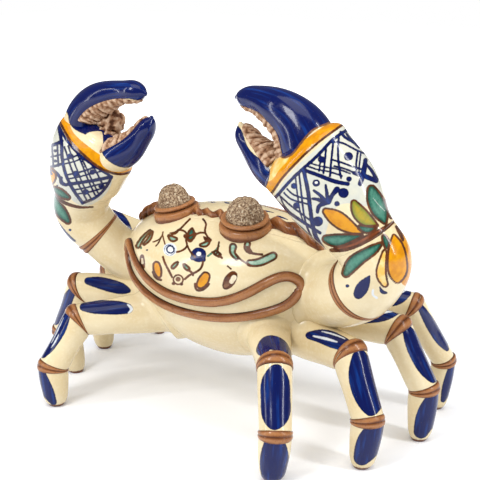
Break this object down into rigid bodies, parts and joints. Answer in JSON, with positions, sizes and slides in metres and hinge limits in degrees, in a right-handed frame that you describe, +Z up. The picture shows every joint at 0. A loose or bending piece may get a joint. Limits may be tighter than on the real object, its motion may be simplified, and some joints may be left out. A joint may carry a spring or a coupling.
{
  "type": "crab figurine",
  "caption": "Glazed ceramic crab figurine standing on jointed-looking legs, with both claws raised, a wide smile and a hand-painted folk ornament.",
  "frame": {"origin": "middle of the footprint, on the table", "axes": "+Z up; the crab faces -Y; its right claw as seen from the front is at +X"},
  "size_m": [0.2563, 0.1434, 0.1951],
  "materials": {
    "body_glaze": "glossy cream glaze",
    "limb_glaze": "glossy cream glaze with cobalt strokes",
    "claw_glaze": "glossy cream glaze with a cobalt lattice and yellow and green petals",
    "blue_glaze": "glossy cobalt glaze",
    "brown_glaze": "glossy terracotta-brown glaze",
    "rough_brown": "rough brown slip",
    "grit": "gritty sand-textured stoneware"
  },
  "bodies": {
    "root": {"carapace": "body_glaze", "face_and_belly": "body_glaze", "right_arm": "limb_glaze", "right_elbow": "claw_glaze", "right_elbow_collar": "brown_glaze", "right_palm": "claw_glaze", "right_upper_finger": "blue_glaze", "right_upper_finger_teeth": "rough_brown", "right_lower_finger": "blue_glaze", "right_lower_finger_teeth": "rough_brown", "right_front_thigh": "limb_glaze", "right_front_shin": "limb_glaze", "right_front_foot": "limb_glaze", "right_front_leg_collars": "brown_glaze", "right_second_thigh": "limb_glaze", "right_second_shin": "limb_glaze", "right_second_foot": "limb_glaze", "right_second_leg_collars": "brown_glaze", "right_third_thigh": "limb_glaze", "right_third_shin": "limb_glaze", "right_third_foot": "limb_glaze", "right_third_leg_collars": "brown_glaze", "right_rear_thigh": "limb_glaze", "right_rear_shin": "limb_glaze", "right_rear_foot": "limb_glaze", "right_rear_leg_collars": "brown_glaze", "right_eye_ring": "brown_glaze", "right_eye": "grit", "left_arm": "limb_glaze", "left_elbow": "claw_glaze", "left_elbow_collar": "brown_glaze", "left_palm": "claw_glaze", "left_upper_finger": "blue_glaze", "left_upper_finger_teeth": "rough_brown", "left_lower_finger": "blue_glaze", "left_lower_finger_teeth": "rough_brown", "left_front_thigh": "limb_glaze", "left_front_shin": "limb_glaze", "left_front_foot": "limb_glaze", "left_front_leg_collars": "brown_glaze", "left_second_thigh": "limb_glaze", "left_second_shin": "limb_glaze", "left_second_foot": "limb_glaze", "left_second_leg_collars": "brown_glaze", "left_third_thigh": "limb_glaze", "left_third_shin": "limb_glaze", "left_third_foot": "limb_glaze", "left_third_leg_collars": "brown_glaze", "left_rear_thigh": "limb_glaze", "left_rear_shin": "limb_glaze", "left_rear_foot": "limb_glaze", "left_rear_leg_collars": "brown_glaze", "left_eye_ring": "brown_glaze", "left_eye": "grit", "right_brow": "brown_glaze", "left_brow": "brown_glaze", "middle_brow": "brown_glaze", "upper_lip": "brown_glaze", "lower_lip": "brown_glaze"}
  },
  "joints": []
}
